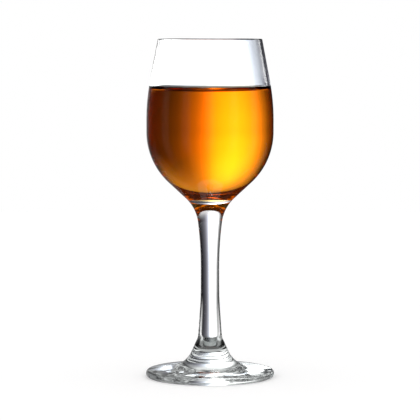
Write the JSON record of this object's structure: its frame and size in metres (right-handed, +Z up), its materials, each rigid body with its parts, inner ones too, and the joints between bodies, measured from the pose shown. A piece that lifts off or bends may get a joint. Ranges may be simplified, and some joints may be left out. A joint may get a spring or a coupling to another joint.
{
  "type": "stemmed sherry glass",
  "caption": "Small stemmed tulip glass with a tapering bowl, slim drawn stem and round foot, part filled with amber sherry.",
  "frame": {"origin": "on the table, at the centre of the foot", "axes": "+Z up the stem through the centre of the rim; the glass is round, so +X and +Y are free"},
  "size_m": [0.057, 0.057, 0.15],
  "materials": {
    "glass_bowl": "clear, fire polished",
    "glass_stem": "clear, fire polished",
    "glass_foot": "clear, fire polished, faint green in the thickness",
    "sherry": "clear amber liquid with a still surface"
  },
  "bodies": {
    "glass": {"bowl": "glass_bowl", "stem": "glass_stem", "foot": "glass_foot"},
    "drink": {"sherry": "sherry"}
  },
  "joints": [
    {"name": "swirl", "type": "hinge", "parent": "glass", "child": "drink", "pos_m": [0, 0, 0.1], "axis": [0, 0, 1], "continuous": true}
  ]
}
